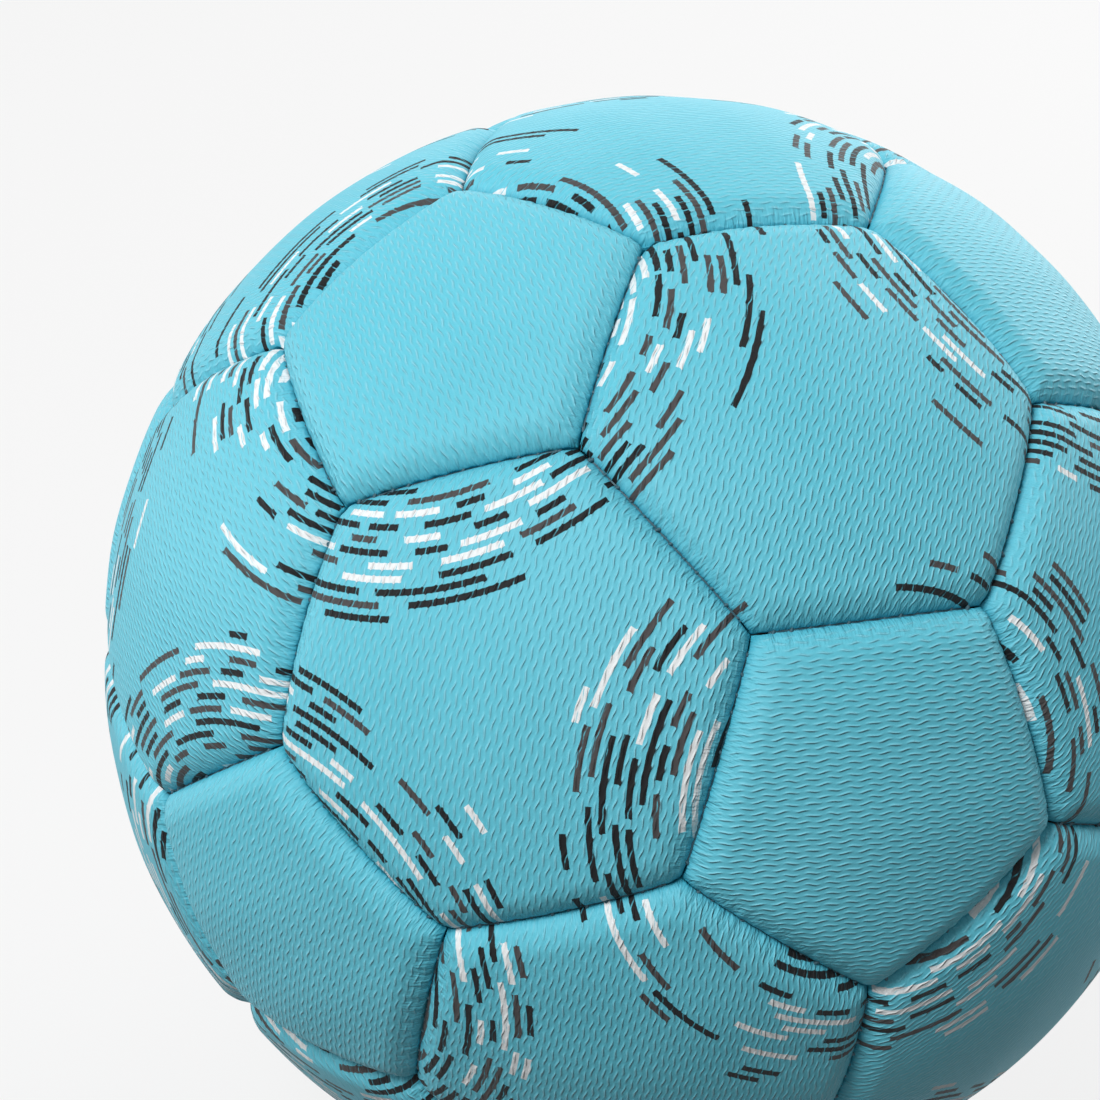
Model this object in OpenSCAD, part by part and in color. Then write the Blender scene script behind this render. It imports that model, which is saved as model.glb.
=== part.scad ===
/* [Ball] */
// Radius of the ball over the middle of a panel
ball_r = 94; // [86:0.5:100]
// Open gap between two panels, down in a seam
seam_gap = 0.4; // [0.3:0.05:0.6]

/* [Cover panels] */
// Thickness of the outer skin
skin_t = 1.4; // [1:0.1:1.8]
// Thickness of the edge that is turned in along a seam
edge_t = 1.3; // [1.1:0.1:1.8]
// Depth of the valley where two panels meet
valley_depth = 1.8; // [1.4:0.1:2.6]
// Distance from a seam at which a panel reaches the full radius
shoulder_w = 4.5; // [4:0.5:7]
// Radius of the rounded shoulder beside a seam
shoulder_r = 7; // [7:0.5:10]

/* [Padding] */
// Thickness of the foam under the skin
foam_t = 2.6; // [2:0.1:4]
// Thickness of the woven lining under the foam
lining_t = 1.2; // [0.8:0.1:2]
// Room for the adhesive between two layers
bond_gap = 0.2; // [0.15:0.05:0.3]

/* [Thread] */
// Thickness of the seam thread
thread_d = 0.9; // [0.6:0.1:1]
// Depth of the thread below the full radius
thread_depth = 3.7; // [3.5:0.1:4.2]
// Room between the thread and the channel that it lies in
thread_gap = 0.15; // [0.1:0.05:0.2]
// Distance from a seam's corner at which its thread stops
thread_stop = 2.4; // [2:0.2:4]

/* [Bladder] */
// Wall of the bladder
bladder_t = 1; // [0.8:0.1:1.5]

/* [Valve] */
// Pentagon panel that holds the valve
valve_panel = 8; // [1:1:12]
// Diameter of the valve's neck, which shows in the cover
neck_d = 8.4; // [7:0.2:10]
// Room around the neck and the plug
valve_gap = 0.2; // [0.15:0.05:0.3]
// Depth of the neck's face below the ball's surface
neck_recess = 0.6; // [0.3:0.1:1]
// Diameter of the flange bonded inside the bladder
flange_d = 30; // [24:1:36]
// Thickness of that flange
flange_t = 1.2; // [1:0.1:2]
// Length of the sleeve that reaches into the bladder
sleeve_len = 11; // [8:0.5:16]
// Diameter of the rubber plug
plug_d = 5.2; // [4.6:0.2:5.8]
// Thickness of the sleeve's closed end
sleeve_end_t = 1.2; // [1:0.1:2]
// Diameter of the plug's head
plug_head_d = 6.4; // [6:0.2:6.8]
// Height of the plug's head
plug_head_t = 1.2; // [0.8:0.1:1.6]
// Diameter of the passage for the inflating needle
needle_d = 2.2; // [2:0.1:2.6]
// Length of that passage
needle_len = 12; // [8:0.5:14]
// Diameter of the patch round the neck, in the lining's layer
patch_d = 34; // [24:1:38]

/* [Hidden] */
function node_name(kind, number) = str(kind, "_cover_", number < 10 ? "0" : "", number);
$fn = 120;
// How far a cutting shape runs past what it cuts
overrun = 1;

skin_color = [0.40, 0.76, 0.84];
pentagon_color = [0.47, 0.80, 0.87];
foam_color = [0.93, 0.90, 0.80];
lining_color = [0.86, 0.86, 0.83];
thread_color = [0.10, 0.45, 0.55];
bladder_color = [0.16, 0.16, 0.17];
rubber_color = [0.08, 0.08, 0.09];

// Layers from the outside in
half_gap = seam_gap / 2;
foam_r = ball_r - skin_t - bond_gap;
lining_r = foam_r - foam_t - bond_gap;
edge_end_r = lining_r - lining_t;
bladder_r = edge_end_r - bond_gap;
bladder_inner_r = bladder_r - bladder_t;
flange_r = bladder_inner_r - bond_gap;
flange_inner_r = flange_r - flange_t;
pocket_inset = half_gap + edge_t;
filling_inset = pocket_inset + bond_gap;
thread_r = ball_r - thread_depth;

// The valve's places along its axis, measured from the ball's centre
neck_top = ball_r - neck_recess;
sleeve_bottom = flange_inner_r - sleeve_len;
sleeve_d = neck_d;
plug_bottom = sleeve_bottom + sleeve_end_t + valve_gap;
plug_top = neck_top - neck_recess;
needle_bottom = plug_top - needle_len;

// A truncated icosahedron whose edge is 1: how far its centre lies from a corner and from each face
golden = (1 + sqrt(5)) / 2;
corner_reach = sqrt(9 * golden + 10) / 2;
pentagon_corner = 1 / (2 * sin(36));
pentagon_side = 1 / (2 * tan(36));
hexagon_corner = 1;
hexagon_side = sqrt(3) / 2;

// Angle between a panel's middle and the middle of its seams, seen from the ball's centre
pentagon_tilt = atan(pentagon_side / sqrt(corner_reach ^ 2 - pentagon_corner ^ 2));
hexagon_tilt = atan(hexagon_side / sqrt(corner_reach ^ 2 - hexagon_corner ^ 2));
// Half the angle that a seam spans
half_seam_angle = asin(0.5 / corner_reach);

// Directions of the panels: a pentagon at each corner of an icosahedron that stands on a face
function unit(v) = v / norm(v);
function direction(polar, azimuth) = [sin(polar) * cos(azimuth), sin(polar) * sin(azimuth), cos(polar)];
near_polar = acos(sqrt((5 + 2 * sqrt(5)) / 15));
far_polar = acos(sqrt((5 - 2 * sqrt(5)) / 15));
ring_polars = [near_polar, far_polar, 180 - far_polar, 180 - near_polar];
pentagon_dirs = [
    for (ring = [0:3], third = [0:2]) direction(ring_polars[ring], 120 * third + 60 * (ring % 2))
];

// Two corners of that icosahedron are neighbours where their directions' product is about 0.45
function beside(a, b) = a * b > 0.4 && a * b < 0.9;
icosahedron_edges = [
    for (i = [0:10], j = [i + 1:11]) if (beside(pentagon_dirs[i], pentagon_dirs[j])) [i, j]
];
// A hexagon lies over each of its faces
hexagon_dirs = [
    for (edge = icosahedron_edges, k = [0:11])
        if (k > edge[1] && beside(pentagon_dirs[edge[0]], pentagon_dirs[k])
            && beside(pentagon_dirs[edge[1]], pentagon_dirs[k]))
            unit(pentagon_dirs[edge[0]] + pentagon_dirs[edge[1]] + pentagon_dirs[k])
];
// The panel beside this one, of the other kind
function neighbour(dir, others) = [for (other = others) if (other * dir > 0.7) other][0];

// Turns the children so that Z points along dir and X leans towards the other direction
function azimuth_of(v) = atan2(v.y, v.x);
function polar_of(v) = acos(v.z / norm(v));
function turned_back(v, dir) =
    let (a = azimuth_of(dir), p = polar_of(dir),
         flat = [v.x * cos(a) + v.y * sin(a), v.y * cos(a) - v.x * sin(a), v.z])
    [flat.x * cos(p) - flat.z * sin(p), flat.y, flat.z * cos(p) + flat.x * sin(p)];
module face_along(dir, towards) {
    rotate([0, polar_of(dir), azimuth_of(dir)])
        rotate([0, 0, azimuth_of(turned_back(towards, dir))])
            children();
}

// The shoulder's circle passes through the valley's floor and through the ball's surface at its full width
valley_r = ball_r - valley_depth;
crown_r = sqrt(ball_r ^ 2 - shoulder_w ^ 2);
chord = [crown_r - valley_r, shoulder_w - half_gap];
chord_middle = [(crown_r + valley_r) / 2, (shoulder_w + half_gap) / 2];
centre_drop = sqrt(shoulder_r ^ 2 - (norm(chord) / 2) ^ 2);
shoulder_centre = chord_middle + centre_drop * [-chord[1], chord[0]] / norm(chord);

// The profiles below are cuts across a seam: X is the distance from the ball's centre along the seam's
// plane, and Y the distance from that plane into the panel

// Everything past the given distance from the seam, under a rounded shoulder at the given depth
module rounded_profile(inset, depth) {
    difference() {
        translate([0, inset]) square(ball_r + overrun);
        difference() {
            translate([valley_r - depth - overrun, inset - overrun])
                square([valley_depth + depth + 3 * overrun, shoulder_centre[1] - inset + overrun]);
            translate(shoulder_centre) circle(r = shoulder_r - depth);
        }
    }
}

// The same with half of the thread's channel in the edge
module edge_profile() {
    difference() {
        rounded_profile(half_gap, 0);
        translate([thread_r, 0]) circle(d = thread_d + 2 * thread_gap);
    }
}

module lining_profile() {
    translate([0, filling_inset]) square(ball_r + overrun);
}

// Part of a hollow ball that faces +Z, cut seam by seam by a profile turned about each seam's axis
module panel(sides, tilt, outer_r, inner_r, side = 0) {
    side_turn = 45;
    if (side == sides)
        rotate([90, 0, 0]) difference() {
            sphere(r = outer_r);
            sphere(r = inner_r);
        }
    else intersection() {
        panel(sides, tilt, outer_r, inner_r, side + 1) children();
        rotate([0, 0, 360 * side / sides]) rotate([0, tilt - 90, 0]) rotate([0, 0, -side_turn])
            rotate_extrude(angle = 2 * side_turn) children();
    }
}

module cover(sides, tilt) {
    difference() {
        panel(sides, tilt, ball_r, edge_end_r) edge_profile();
        panel(sides, tilt, ball_r - skin_t, edge_end_r - overrun) rounded_profile(pocket_inset, skin_t);
    }
}

module foam_pad(sides, tilt) {
    panel(sides, tilt, foam_r, foam_r - foam_t) rounded_profile(filling_inset, ball_r - foam_r);
}

module lining(sides, tilt) {
    panel(sides, tilt, lining_r, edge_end_r) lining_profile();
}

// Hole of a given diameter along the valve's axis
module valve_hole(diameter) {
    cylinder(d = diameter, h = ball_r + overrun);
}

module at_pentagon(number) {
    dir = pentagon_dirs[number - 1];
    face_along(dir, neighbour(dir, hexagon_dirs)) children();
}

module at_hexagon(number) {
    dir = hexagon_dirs[number - 1];
    face_along(dir, neighbour(dir, pentagon_dirs)) children();
}

module pentagon_cover(number) {
    color(pentagon_color) at_pentagon(number) difference() {
        cover(5, pentagon_tilt);
        if (number == valve_panel) valve_hole(neck_d + 2 * valve_gap);
    }
}

module hexagon_cover(number) {
    color(skin_color) at_hexagon(number) cover(6, hexagon_tilt);
}

module pentagon_foam_pads() {
    color(foam_color) for (number = [1:12]) at_pentagon(number) difference() {
        foam_pad(5, pentagon_tilt);
        if (number == valve_panel) valve_hole(neck_d + 2 * valve_gap);
    }
}

module hexagon_foam_pads() {
    color(foam_color) for (number = [1:20]) at_hexagon(number) foam_pad(6, hexagon_tilt);
}

module pentagon_linings() {
    color(lining_color) for (number = [1:12]) at_pentagon(number) difference() {
        lining(5, pentagon_tilt);
        if (number == valve_panel) valve_hole(patch_d + 2 * valve_gap);
    }
}

module hexagon_linings() {
    color(lining_color) for (number = [1:20]) at_hexagon(number) lining(6, hexagon_tilt);
}

// Thread of one seam, over +Z and running along X
module thread_arc() {
    stop_angle = half_seam_angle - asin(thread_stop / thread_r);
    rotate([90, 0, 0]) rotate([0, 0, 90 - stop_angle]) rotate_extrude(angle = 2 * stop_angle)
        translate([thread_r, 0]) circle(d = thread_d, $fn = 32);
}

module seam_threads() {
    color(thread_color) {
        for (number = [1:12], side = [0:4])
            at_pentagon(number) rotate([0, 0, 360 * side / 5]) rotate([0, pentagon_tilt, 0])
                rotate([0, 0, 90]) thread_arc();
        for (edge = icosahedron_edges)
            face_along(pentagon_dirs[edge[0]] + pentagon_dirs[edge[1]], pentagon_dirs[edge[1]])
                thread_arc();
    }
}

module bladder() {
    color(bladder_color) difference() {
        sphere(r = bladder_r);
        sphere(r = bladder_inner_r);
        at_pentagon(valve_panel) valve_hole(neck_d + 2 * valve_gap);
    }
}

// Ring of reinforced cloth that lies in the lining's layer, round the neck
module valve_patch() {
    color(lining_color) at_pentagon(valve_panel) difference() {
        intersection() {
            sphere(r = lining_r);
            cylinder(d = patch_d, h = ball_r);
        }
        sphere(r = edge_end_r);
        valve_hole(neck_d + 2 * valve_gap);
    }
}

// Neck, bonded flange and inner sleeve in one moulding, open at the top for the plug
module valve_housing() {
    color(rubber_color) at_pentagon(valve_panel) difference() {
        union() {
            intersection() {
                difference() {
                    sphere(r = flange_r);
                    sphere(r = flange_inner_r);
                }
                cylinder(d = flange_d, h = ball_r);
            }
            translate([0, 0, sleeve_bottom]) cylinder(d = sleeve_d, h = neck_top - sleeve_bottom);
        }
        translate([0, 0, plug_bottom - valve_gap])
            cylinder(d = plug_d + 2 * valve_gap, h = ball_r);
        translate([0, 0, plug_top - plug_head_t - valve_gap])
            cylinder(d = plug_head_d + 2 * valve_gap, h = ball_r);
    }
}

// Self-closing rubber plug with the passage that takes the inflating needle
module valve_plug() {
    color(rubber_color) at_pentagon(valve_panel) difference() {
        union() {
            translate([0, 0, plug_bottom]) cylinder(d = plug_d, h = plug_top - plug_bottom);
            translate([0, 0, plug_top - plug_head_t]) cylinder(d = plug_head_d, h = plug_head_t);
        }
        translate([0, 0, needle_bottom]) cylinder(d = needle_d, h = needle_len + overrun);
    }
}

for (number = [1:12])
    pentagon_cover(number);
for (number = [1:20])
    hexagon_cover(number);
pentagon_foam_pads();
hexagon_foam_pads();
pentagon_linings();
hexagon_linings();
seam_threads();
bladder();
valve_patch();
valve_housing();
valve_plug();
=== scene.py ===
"""Looks of a size 3 handball: puffed panels of grained and printed leather, and the stitches between them."""

import math

import bpy
import numpy as np
from mathutils import Matrix, Vector

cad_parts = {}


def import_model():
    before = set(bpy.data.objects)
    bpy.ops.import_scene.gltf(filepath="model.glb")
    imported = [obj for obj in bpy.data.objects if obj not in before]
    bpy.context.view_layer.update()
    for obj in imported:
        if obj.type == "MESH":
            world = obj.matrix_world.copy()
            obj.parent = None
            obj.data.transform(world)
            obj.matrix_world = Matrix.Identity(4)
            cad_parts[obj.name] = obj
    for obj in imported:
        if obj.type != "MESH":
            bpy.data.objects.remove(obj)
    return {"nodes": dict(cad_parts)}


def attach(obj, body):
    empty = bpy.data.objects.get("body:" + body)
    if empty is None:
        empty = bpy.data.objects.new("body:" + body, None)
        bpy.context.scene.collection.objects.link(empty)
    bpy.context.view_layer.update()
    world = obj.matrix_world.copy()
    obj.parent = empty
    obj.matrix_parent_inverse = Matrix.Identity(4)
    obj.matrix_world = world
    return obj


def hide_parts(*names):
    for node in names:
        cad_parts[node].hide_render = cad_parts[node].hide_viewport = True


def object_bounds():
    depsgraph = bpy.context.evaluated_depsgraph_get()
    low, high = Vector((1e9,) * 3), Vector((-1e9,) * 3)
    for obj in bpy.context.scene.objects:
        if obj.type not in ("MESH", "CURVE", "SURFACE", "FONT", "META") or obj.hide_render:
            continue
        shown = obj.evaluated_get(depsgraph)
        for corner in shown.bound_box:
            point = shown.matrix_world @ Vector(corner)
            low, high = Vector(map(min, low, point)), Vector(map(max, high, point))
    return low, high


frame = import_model()
cad_low, cad_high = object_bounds()

MM = 0.001

# The ball, in millimetres. The radius comes from the frame, and the layers lie where the frame has them
BALL_R = cad_high.z / MM
SKIN_T = 1.4
EDGE_T = 1.3
EDGE_END_R = BALL_R - 5.6
HALF_GAP = 0.02

# Two pentagons are neighbours when the cosine between their directions is in this range
PENTAGONS_MEET = (0.4, 0.9)
# A pentagon and a hexagon share a seam when it is above this
HEXAGON_MEETS = 0.7

# Form of a panel: a dome a little rounder than the ball, with a shoulder that rolls down into the seam
DOME_R = 86.5
SHOULDER_W = 5.0
SHOULDER_DROP = 2.8
SHOULDER_POWER = 1.7
SHOULDER_CURL = 0.7
CORNER_SOFTNESS = 0.6
CORNER_SLOPE = 0.4

# Stitches pull the edges down and together, and between two stitches the seam opens a little
STITCH_PITCH = 2.9
STITCHES_PER_SEAM = 12
PULL_DEPTH = 0.2
PULL_REACH = 1.3
GAP_OPENING = 0.11
OPENING_REACH = 0.7

# The edges of the leather waver a little
WAVER_WAVES = (0.9, 1.7, 3.7)
WAVER_WIDTH = 0.035

# Small creases that run across a shoulder: wavelengths, heights and how far they reach from the seam
CREASE_WAVES = (1.4, 2.1, 3.1, 5.3)
CREASE_SHARES = (0.2, 0.3, 0.28, 0.22)
CREASE_HEIGHT = 0.14
CREASE_REACH = 3.0
CREASE_SLANT = 0.5

# Broad unevenness of the padding
LUMP_WAVES = (17.0, 23.0, 31.0)
LUMP_HEIGHT = 0.05

# Mesh: loops from a panel's middle to its edge, crowded towards it, and the one at the valve's hole
LOOPS = 48
CROWDING = 0.7
HOLE_LOOP = LOOPS // 6
# Loops down the edge, with the turned-in strip as one more row, and loops to the middle of the inner side
EDGE_SHARES = (0.12, 0.3, 0.6, 1)
EDGE_ROWS = len(EDGE_SHARES) + 1
INNER_SHARES = (1, 0.93, 0.8, 0.6, 0.4, 0.2)
# Each panel draws its creases and lumps from a seed of its own
PANEL_SEED_STEP = 100

# Chart of a panel on a square: width of its edge there, margin, and the shares of its outer and inner sides
CHART_EDGE_W = 2.0
CHART_MARGIN = 5.0
CHART_OUTER_SHARE = 0.485
CHART_INNER_MIDDLE = 0.955
CHART_INNER_SHARE = 0.04

# The valve, which looks out of the middle of one pentagon
VALVE_PANEL = 8
VALVE_HOLE_D = 8.8

# Embossed grain: grains in staggered rows, tilted one way and the other by turns
GRAIN_LENGTH = 3.15
ROW_PITCH = 0.89
GRAIN_TILT = 0.36
GRAIN_HEIGHT = 0.22
# The rows wander a little, and a ridge breaks up into grains, leans over and is sharper than its furrow
WANDER_SCALE = 0.35
WANDER_WIDTH = 0.5
STAGGER_SHARE = 0.46
LEAN_SHARE = 0.45
RIDGE_POWER = 1.5
FURROW_LEVELS = (0.93, 0.99)
# Near a seam the grain is stretched flat
FLATTENED_FROM = 0.3
FLATTENED_TO = 2.4
FLATTENED_SHARE = 0.6
# Which of a panel's sides its rows run along, where the photograph shows it; the others take turns
GRAIN_SIDES = {"pentagon_cover_03": 2, "pentagon_cover_06": 0,
               "hexagon_cover_10": 1, "hexagon_cover_03": 2, "hexagon_cover_16": 2}

# Print: broken rings round each pentagon
RING_SPACING = 1.9
BAR_W = 1.05
BAR_EDGE_SOFTNESS = 0.06
# The grain makes a bar's edges ragged by so much, outwards where it is above this level
BAR_RAGGEDNESS = 0.18
RAGGED_LEVEL = 0.3
# A ring is cut into cells of this length or up to so much more, and a bar fills a share of its cell
CELL_LENGTH = 7.0
CELL_EXTRA = 15.0
BAR_HALF_SHARE = 0.2
BAR_HALF_EXTRA_SHARE = 0.27
CELL_FREE_SHARE = 0.48
# Bars gather in drifts, which are other ones round each pentagon
DRIFT_SCALE = 0.028
DRIFT_LEVELS = (0.49, 0.66)
DRIFT_STEP = 40.0
# The rings thin out between these distances from the pentagon's middle
RINGS_THIN_R = 43.0
RINGS_END_R = 52.0
# Seeds of the rings, the bars and their shades
RING_SEED = 3.7
BAR_SEED = 0.3
SHADE_SEED = 7.1
# Above the first level of a random number a bar is grey and not black, and above the second one white
INK_LEVELS = (0.45, 0.72)
# Furrows stay free of ink in places
HOLLOW_SCALE = 700.0
HOLLOW_LEVELS = (0.35, 0.6)
HOLLOW_SHARES = (0.1, 0.8)

# Thread, and the loop that it makes across a seam
THREAD_D = 0.62
LOOP_TOP_R = BALL_R - 3.3
LOOP_FOOT_R = BALL_R - 4.3
LOOP_HALF_W = 1.0
LOOP_SLANT = 0.45
LOOP_ROUNDNESS = 0.7
LOOP_STEPS = 9
THREAD_SIDES = 8
# How far a stitch may stray: along its seam, across it and up or down
STRAY_ALONG = 0.12
STRAY_ACROSS = 0.05
STRAY_DEPTH = 0.15
STITCH_SEED = 11

# Camera, read from the photograph: direction of the view, its lean, and the place of the ball in the image
IMAGE_SIZE = 1100
VIEW_AZIMUTH = 277.29
VIEW_ELEVATION = 25.43
VIEW_LEAN = 3.06
VIEW_DISTANCE_SHARE = 5.06
OUTLINE_R_PX = 553
CENTRE_PX = (654.4, 647.3)
SENSOR_WIDTH = 36

# Colours, as linear light
# The paler ridge and deeper valley colours are partly the leather's two-tone finish and partly painted light:
# painted sheen on the ridges and painted shade in the furrows
LEATHER_RIDGE_AND_SHEEN = (0.230, 0.620, 0.740, 1)
LEATHER_VALLEY_AND_SHADE = (0.085, 0.460, 0.580, 1)
# Painted shade: the deep teal that the seam's edge walls and the leather next to them take, where shade falls
# in the groove
LEATHER_SEAM_PAINTED_SHADE = (0.012, 0.290, 0.410, 1)
INK_BLACK = (0.004, 0.005, 0.006, 1)
INK_GREY = (0.058, 0.055, 0.056, 1)
INK_WHITE = (0.760, 0.790, 0.800, 1)
THREAD_DARK = (0.012, 0.050, 0.068, 1)
THREAD_PALE = (0.0388, 0.130, 0.1732, 1)
FOAM_DARK = (0.656, 0.6068, 0.492, 1)
FOAM_PALE = (0.800, 0.740, 0.600, 1)
CLOTH_DARK = (0.448, 0.448, 0.420, 1)
CLOTH_PALE = (0.640, 0.640, 0.600, 1)
RUBBER_DARK = (0.020, 0.020, 0.023, 1)
RUBBER_PALE = (0.038, 0.038, 0.0431, 1)

# Finish of the leather: roughness, and what grain, soft clouds and a fine speckle do to tone and relief
LEATHER_SHINE = 0.22
LEATHER_ROUGHNESS = 0.46
ROUGHER_SPECKLE = 0.16
SMOOTHER_RIDGE = 0.12
ROUGHER_INK = 0.16
# The grain's share of the tone is partly the two-tone finish and partly painted sheen on the ridges and
# painted shade in the furrows
TONE_GRAIN_SHARE = 0.75
TONE_CLOUD_SHARE = 0.35
SPECKLE_RELIEF_SHARE = 0.22
CLOUD_SCALE = 28.0
SPECKLE_SCALE = 2600.0
SPECKLE_ROUGHNESS = 0.6
# The painted shade along the seam, darkest down its edge walls, ends between these distances from it, and the
# speckle moves that by up to so much
SEAM_SHADE_FROM = -0.5
SEAM_SHADE_TO = 1.3
SEAM_SHADE_SPECKLE = 0.4
# Fine creases across the shoulder: how many to a millimetre along the seam and across it, and how they bend
FINE_CREASES_ALONG = 1.9
FINE_CREASES_ACROSS = 0.45
FINE_CREASES_WARP = 9.0
# They fade out between these distances from the seam, and their height is a share of the grain's
FINE_CREASES_FROM = 0.6
FINE_CREASES_TO = 4.2
FINE_CREASES_SHARE = 2.1

# Finish of the plain materials: lowest and highest roughness, relief in millimetres and scales of detail
RUBBER_ROUGHNESS = (0.4, 0.7)
RUBBER_RELIEF = 0.05
BLADDER_SCALE = 400.0
VALVE_SCALE = 1800.0
CLOTH_ROUGHNESS = (0.75, 0.95)
CLOTH_RELIEF = 0.12
CLOTH_SCALE = 900.0
YARN_PITCH = 0.9
FOAM_ROUGHNESS = (0.8, 0.95)
FOAM_RELIEF = 0.15
FOAM_SCALE = 500.0
FOAM_CELL_SCALE = 1400.0
THREAD_ROUGHNESS = (0.35, 0.6)
THREAD_RELIEF = 0.05
THREAD_SCALE = 2500.0
PLY_PITCH = 0.35
PLY_SHARE = 0.35
PATCH_SHARE = 0.15

# Tones of the surround and of the floor, as the camera sees them and as they light the ball
BACKGROUND = 0.905
SURROUND_LIGHT = 0.05
FLOOR_SEEN = 0.9
FLOOR_BOUNCE = 0.06
FLOOR_GLOW_SHARE = 0.9
FLOOR_ROUGHNESS = 0.9
# Half the floor's width, in millimetres
FLOOR_HALF_W = 4000

# Lamps: direction in the camera's axes (right, up and back), distance and width in metres, and power in watts
LAMPS = {
    "key_softbox": ((-0.34, 0.45, 0.83), 1.5, 0.45, 21),
    "front_softbox": ((0.1, 0.15, 0.98), 1.5, 0.8, 2.5),
    "left_softbox": ((-0.95, 0.0, -0.25), 1.2, 1.1, 15),
    "back_softbox": ((0.2, 0.8, -0.55), 1.2, 1.3, 8),
    "right_softbox": ((0.7, 0.6, -0.3), 1.2, 1.1, 10),
}


# Places of the panels

def unit(vectors):
    """Vectors of length 1, for one vector or for one in each row."""
    return vectors / np.linalg.norm(vectors, axis=-1, keepdims=True)


def pentagon_directions():
    """Directions of the 12 pentagons' middles: the corners of an icosahedron that stands on a face."""
    near = math.acos(math.sqrt((5 + 2 * math.sqrt(5)) / 15))
    far = math.acos(math.sqrt((5 - 2 * math.sqrt(5)) / 15))
    found = []
    for ring, polar in enumerate((near, far, math.pi - far, math.pi - near)):
        for third in range(3):
            azimuth = math.radians(120 * third + 60 * (ring % 2))
            flat = math.sin(polar)
            found.append(np.array([flat * math.cos(azimuth), flat * math.sin(azimuth), math.cos(polar)]))
    return found


def beside(a, b):
    """Whether a seam joins the corners of two pentagons."""
    low, high = PENTAGONS_MEET
    return low < a @ b < high


def pentagon_pairs(pentagons):
    """Neighbouring pentagons, which a seam between two hexagons joins."""
    count = len(pentagons)
    return [(i, j) for i in range(count) for j in range(i + 1, count)
            if beside(pentagons[i], pentagons[j])]


def hexagon_directions(pentagons):
    """Directions of the 20 hexagons' middles, each between three neighbouring pentagons."""
    return [
        unit(pentagons[i] + pentagons[j] + pentagons[k])
        for i, j in pentagon_pairs(pentagons)
        for k in range(j + 1, len(pentagons))
        if beside(pentagons[i], pentagons[k]) and beside(pentagons[j], pentagons[k])
    ]


def axes_along(direction, towards):
    """Columns X, Y and Z, with Z along a direction and X leaning towards another."""
    z = unit(direction)
    x = unit(towards - (towards @ z) * z)
    return np.column_stack([x, np.cross(z, x), z])


def panel_axes(direction, others):
    """A panel's own axes: X points over the middle of its first side that meets a panel of the other kind."""
    return axes_along(direction, next(other for other in others if other @ direction > HEXAGON_MEETS))


PENTAGONS = pentagon_directions()
HEXAGONS = hexagon_directions(PENTAGONS)


# Form of one panel, in its own axes

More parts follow.
